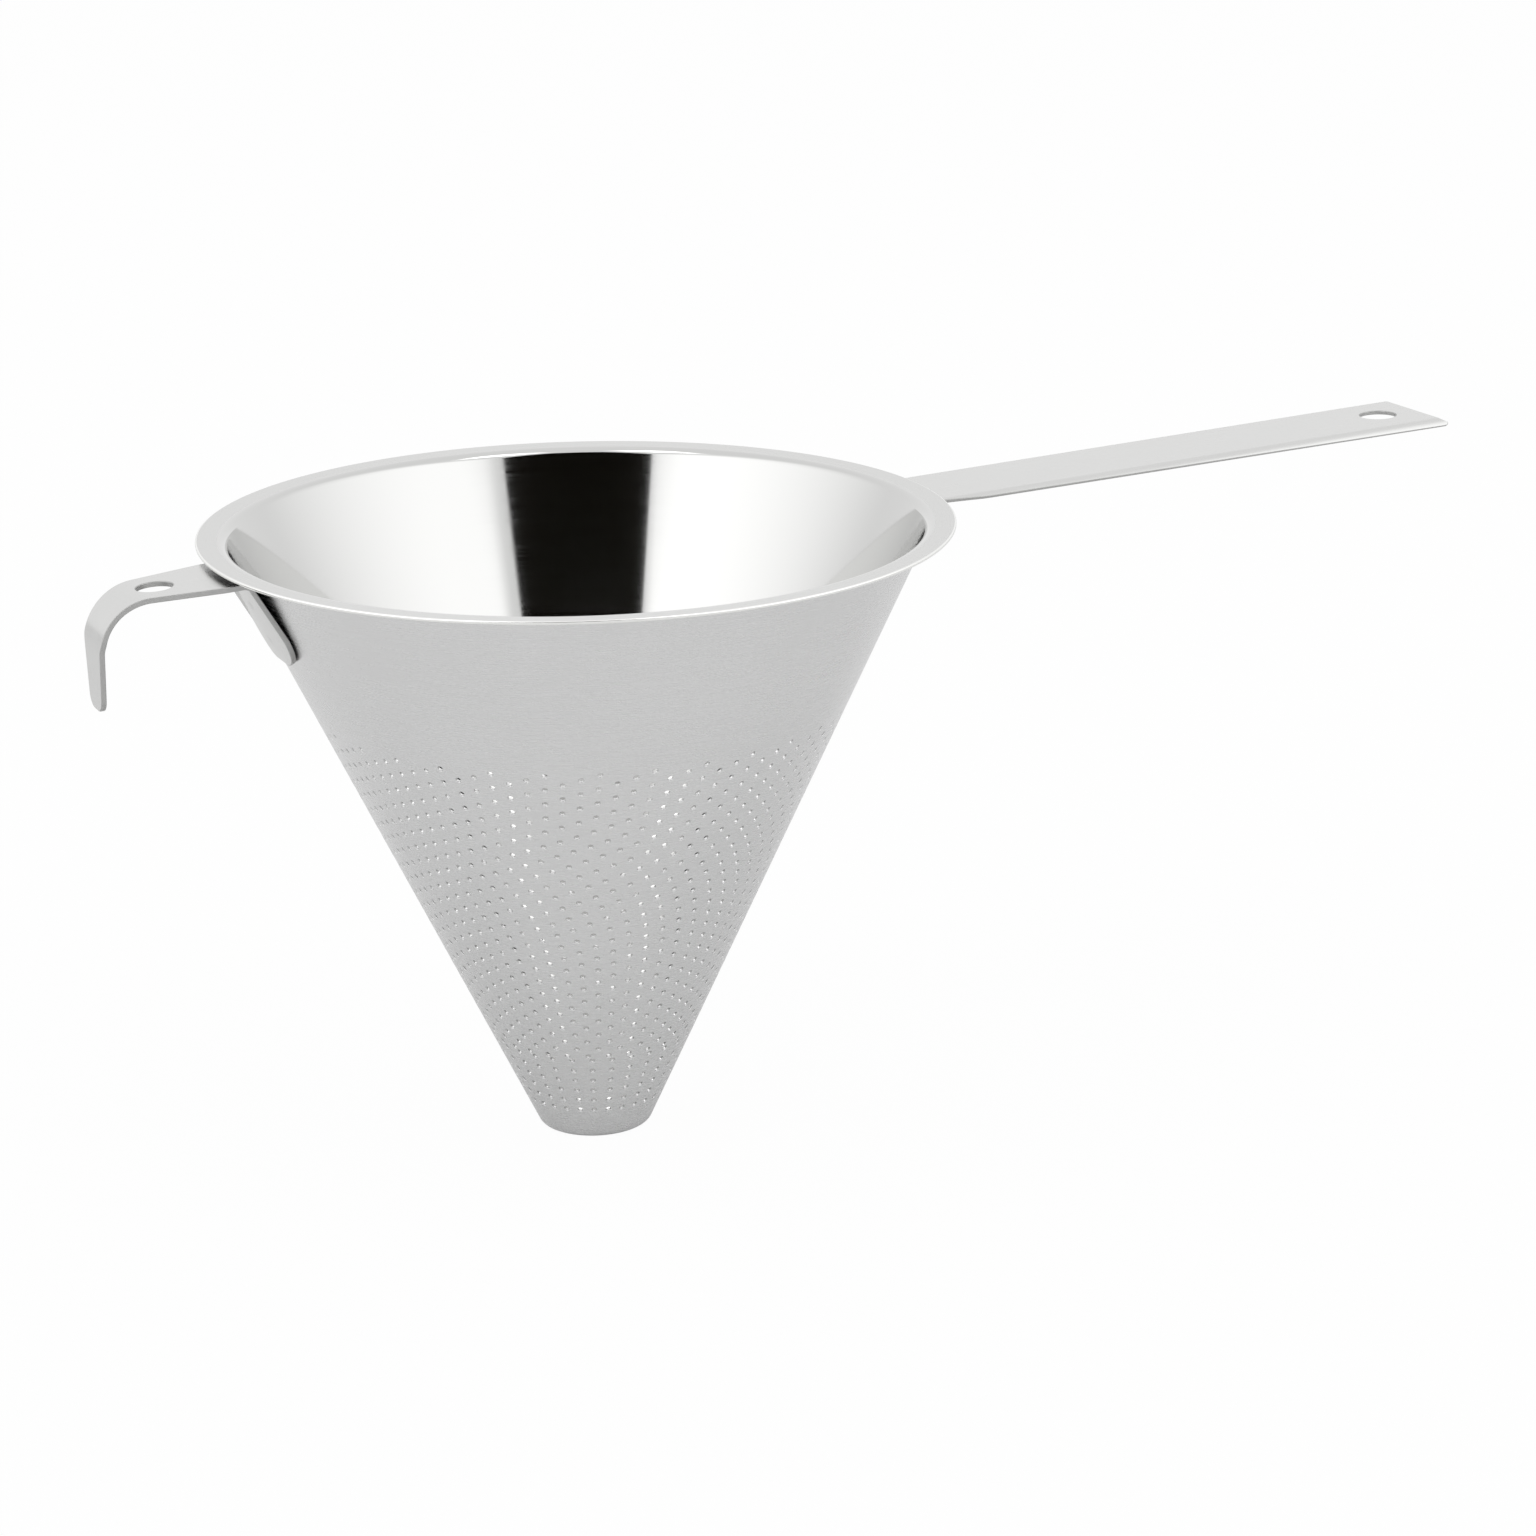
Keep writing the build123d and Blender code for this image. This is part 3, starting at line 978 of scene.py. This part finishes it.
half_foot = bent_line(
    [(0, 0), (0, hook_root_half_width), (hook_tab_length, hook_root_half_width)], [hook_tab_corner], 16
)[0]
hook_steps = np.arange(hook_tab_length + 1, hook_length - 2 * hook_tip_corner, 1.0)
half_tip = bent_line(
    [
        (hook_length - 2 * hook_tip_corner, hook_half_width(hook_length - 2 * hook_tip_corner)),
        (hook_length, hook_tip_half_width),
        (hook_length, 0),
    ],
    [hook_tip_corner],
    12,
)[0]
half_strip = [(along, hook_half_width(along)) for along in hook_steps]
hook_outline = strip_outline(list(half_foot[1:]) + half_strip + list(half_tip[:-1]))
hole_run = hook_hole_offset + rim_radius - hook_line[root_bend_end, 0]
hole_reach = hole_run / math.cos(math.radians(hook_fall))
hook_hole = circle((hook_lengths[root_bend_end] + hole_reach, 0), hook_hole_radius, 56)
hook_rows = np.concatenate(
    [np.arange(1.5, hook_tab_length - 5, 2.0), np.arange(hook_tab_length - 4, hook_length - 1, 0.9)]
)
hook_inner_points = strip_points(
    hook_rows, hook_half_width, unrolled_width, [hook_outline, hook_hole], hook_marks, clear=0.5
)
points, normals, layout, outer, inner, edges = sheet_shell(
    [hook_outline, hook_hole], hook_inner_points, place_hook, hook_sheet, strip_edge_radius
)
# The hook's cut edges and hole wall take the darker grey of painted shade.
hook_groups = [(outer, strip_steel), (inner, strip_steel), (edges, sheared_edge_painted_shade_steel)]
hook = make_mesh("pot_rest_hook", points, normals, hook_groups, layout)
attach(hook, "root")
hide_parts("rest_hook")

# Spot welds.
# Flat nuggets of fused steel in the gap between each tab and the wall, three under the handle's tab
# and two under the hook's. They are made as two electrodes squeeze the sheets together.
weld_ripple = 0.6
weld_ripple_depth = 0.05


def fused(name, light, dark, roughness):
    """Steel that was melted and set again: a mottled grey with a fine ripple."""
    material, tree = new_material(name)
    place = add(tree, "ShaderNodeTexCoord").outputs["Object"]
    ripple_sockets = {"Vector": place, "Scale": 1 / (weld_ripple * mm), "Detail": 2.0}
    ripple = add(tree, "ShaderNodeTexNoise", ripple_sockets)
    shades = {0: ripple.outputs[0], 6: linear(dark), 7: linear(light)}
    colour = add(tree, "ShaderNodeMix", shades, data_type="RGBA")
    bump = add(
        tree,
        "ShaderNodeBump",
        {"Strength": 0.4, "Distance": weld_ripple_depth * mm, "Height": ripple.outputs[0]},
    )
    shader = add(
        tree,
        "ShaderNodeBsdfPrincipled",
        {
            "Base Color": colour.outputs[2],
            "Metallic": 1.0,
            "Roughness": roughness,
            "Normal": bump.outputs[0],
        },
    )
    add(tree, "ShaderNodeOutputMaterial", {"Surface": shader.outputs[0]})
    return material


weld_steel = fused("fused_weld_stainless", "#A8A6A2", "#7E7C79", 0.4)
for name in ("handle_spot_welds", "hook_spot_welds"):
    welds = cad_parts[name]
    welds.data.materials.clear()
    welds.data.materials.append(weld_steel)

# Camera, at the photograph's place: a long lens from the front left, a little above the rim.
camera_place = (-0.38365, -0.96014, 0.42825)
camera_forward = Vector((0.39835, 0.86744, -0.29810))
camera_up = Vector((0.13921, 0.26405, 0.95441))
camera_data = bpy.data.cameras.new("photo_camera")
camera_data.sensor_width = 36.0
camera_data.lens = 89.17
camera_data.clip_end = 50.0
camera = bpy.data.objects.new("photo_camera", camera_data)
camera_side = camera_forward.cross(camera_up).normalized()
camera_up = camera_side.cross(camera_forward).normalized()
camera.matrix_world = Matrix.Translation(camera_place) @ Matrix(
    (camera_side, camera_up, -camera_forward.normalized())
).transposed().to_4x4()
bpy.context.scene.collection.objects.link(camera)
bpy.context.scene.camera = camera

# Table and room: a white table in a white room, which the polished steel mirrors. The camera sees
# the table nearly as plain white, and the steel sees more of its shadows.
white = "#FFFFFF"
table_colour = "#F0F0F0"
table_size = 16.0
glow_to_camera = 0.96
glow_to_steel = 0.03
table_mesh = bpy.data.meshes.new("white_table")
reach = table_size / 2
table_corners = [(-reach, -reach, 0), (reach, -reach, 0), (reach, reach, 0), (-reach, reach, 0)]
table_mesh.from_pydata(table_corners, [], [(0, 1, 2, 3)])
table = bpy.data.objects.new("white_table", table_mesh)
bpy.context.scene.collection.objects.link(table)
table_material, tree = new_material("white_laminate")
laminate = add(tree, "ShaderNodeBsdfDiffuse", {"Color": linear(table_colour)})
glow = add(tree, "ShaderNodeEmission", {"Color": linear(white), "Strength": 1.0})
path = add(tree, "ShaderNodeLightPath")
direct = add(
    tree,
    "ShaderNodeMath",
    {0: path.outputs["Is Camera Ray"], 1: path.outputs["Is Transmission Ray"]},
    operation="MAXIMUM",
)
direct = add(tree, "ShaderNodeMath", {0: direct.outputs[0], 1: glow_to_camera}, operation="MULTIPLY")
share = add(
    tree,
    "ShaderNodeMath",
    {0: path.outputs["Is Glossy Ray"], 1: glow_to_steel, 2: direct.outputs[0]},
    operation="MULTIPLY_ADD",
)
layers = {0: share.outputs[0], 1: laminate.outputs[0], 2: glow.outputs[0]}
mixed = add(tree, "ShaderNodeMixShader", layers)
add(tree, "ShaderNodeOutputMaterial", {"Surface": mixed.outputs[0]})
table_mesh.materials.append(table_material)

room_fill = 0.8
world = bpy.data.worlds.new("white_room")
world.use_nodes = True
tree = world.node_tree
tree.nodes.clear()
path = add(tree, "ShaderNodeLightPath")
seen = add(
    tree,
    "ShaderNodeMath",
    {0: path.outputs["Is Camera Ray"], 1: path.outputs["Is Glossy Ray"]},
    operation="MAXIMUM",
)
seen = add(
    tree, "ShaderNodeMath", {0: seen.outputs[0], 1: path.outputs["Is Transmission Ray"]}, operation="MAXIMUM"
)
strength = add(tree, "ShaderNodeMapRange", {0: seen.outputs[0], 1: 0.0, 2: 1.0, 3: room_fill, 4: 1.0})
room = add(tree, "ShaderNodeBackground", {"Color": linear(white), "Strength": strength.outputs[0]})
add(tree, "ShaderNodeOutputWorld", {"Surface": room.outputs[0]})
bpy.context.scene.world = world

# Studio: a dark gap over the camera, which narrows upwards, and on each side of it a wide soft box
# low down and a small one high up. In the polished bowl they are the black patch, the white bands
# beside it and the bright spots behind the holes.
studio_centre = Vector((0.0, 0.0, 0.16))
camera_azimuth = math.degrees(math.atan2(camera_place[1], camera_place[0]))
gap_distance = 1.6
gap_azimuth = -1.0
gap_half_width = 29.5
gap_top_half_width = 14.0
gap_low, gap_shoulder, gap_high = 30.0, 40.0, 62.0
gap_corner = 4.0
gap_rows = (32.0, 35.0, 38.0)
gap_colour = "#100E0A"


def toward(azimuth, elevation, distance):
    """Point seen from the strainer's mouth, with the azimuth counted from the camera's."""
    turn = math.radians(camera_azimuth + azimuth)
    rise = math.radians(elevation)
    level = math.cos(rise)
    direction = Vector((level * math.cos(turn), level * math.sin(turn), math.sin(rise)))
    return studio_centre + distance * direction


half_gap = bent_line(
    [
        (gap_low, 0),
        (gap_low, gap_half_width),
        (gap_shoulder, gap_half_width),
        (gap_high, gap_top_half_width),
        (gap_high, 0),
    ],
    [gap_corner] * 3,
    6,
)[0]
gap_loop = strip_outline(half_gap[1:-1])
gap_inner = np.array([(x, y) for x in gap_rows for y in np.linspace(-25, 25, 26)])
gap_flat, gap_faces = fill([gap_loop], gap_inner)
gap_mesh = bpy.data.meshes.new("studio_gap")
gap_points = [toward(gap_azimuth + y, x, gap_distance) for x, y in gap_flat]
gap_mesh.from_pydata(gap_points, [], gap_faces.tolist())
gap = bpy.data.objects.new("studio_gap", gap_mesh)
bpy.context.scene.collection.objects.link(gap)
gap_material, tree = new_material("black_cloth")
cloth = add(tree, "ShaderNodeBsdfDiffuse", {"Color": linear(gap_colour)})
add(tree, "ShaderNodeOutputMaterial", {"Surface": cloth.outputs[0]})
gap_mesh.materials.append(gap_material)
gap.visible_camera = False


def soft_box(name, place, width, height, fades, radiance):
    """Area lamp that faces the strainer.

    Its glow fades in from each edge over a share of its size: left, right, bottom and top.
    """
    lamp = bpy.data.lights.new(name, "AREA")
    lamp.shape = "RECTANGLE"
    lamp.size = width
    lamp.size_y = height
    lamp.energy = math.pi * width * height
    lamp.use_nodes = True
    tree = lamp.node_tree
    tree.nodes.clear()
    place_on_box = add(tree, "ShaderNodeNewGeometry").outputs["Parametric"]
    split = add(tree, "ShaderNodeSeparateXYZ", {0: place_on_box})
    glow = radiance
    left, right, low, high = fades
    borders = (("X", 0, left), ("X", 1, 1 - right), ("Y", 0, low), ("Y", 1, 1 - high))
    for axis, start, end in borders:
        faded = add(
            tree,
            "ShaderNodeMapRange",
            {0: split.outputs[axis], 1: start, 2: end, 3: 0.0, 4: 1.0},
            interpolation_type="SMOOTHSTEP",
        )
        glow = add(tree, "ShaderNodeMath", {0: faded.outputs[0], 1: glow}, operation="MULTIPLY").outputs[0]
    emission = add(tree, "ShaderNodeEmission", {"Color": linear(white), "Strength": glow})
    add(tree, "ShaderNodeOutputLight", {"Surface": emission.outputs[0]})
    box = bpy.data.objects.new(name, lamp)
    box.location = place
    box.rotation_euler = (studio_centre - place).to_track_quat("-Z", "Y").to_euler()
    bpy.context.scene.collection.objects.link(box)


even_fade = (0.3, 0.3, 0.3, 0.3)
left_fade = (0.75, 0.08, 0.3, 0.3)
right_fade = (0.08, 0.75, 0.3, 0.3)
soft_box("left_top_box", toward(-56.0, 69.5, 1.7), 0.62, 0.62, even_fade, 2.4)
soft_box("right_top_box", toward(48.0, 68.5, 1.7), 0.62, 0.62, even_fade, 2.4)
soft_box("left_wide_box", toward(-87.5, 30.0, 2.4), 5.24, 3.0, left_fade, 0.64)
soft_box("right_wide_box", toward(88.5, 30.0, 2.4), 5.06, 3.0, right_fade, 0.56)

bpy.context.scene.view_settings.view_transform = "Standard"
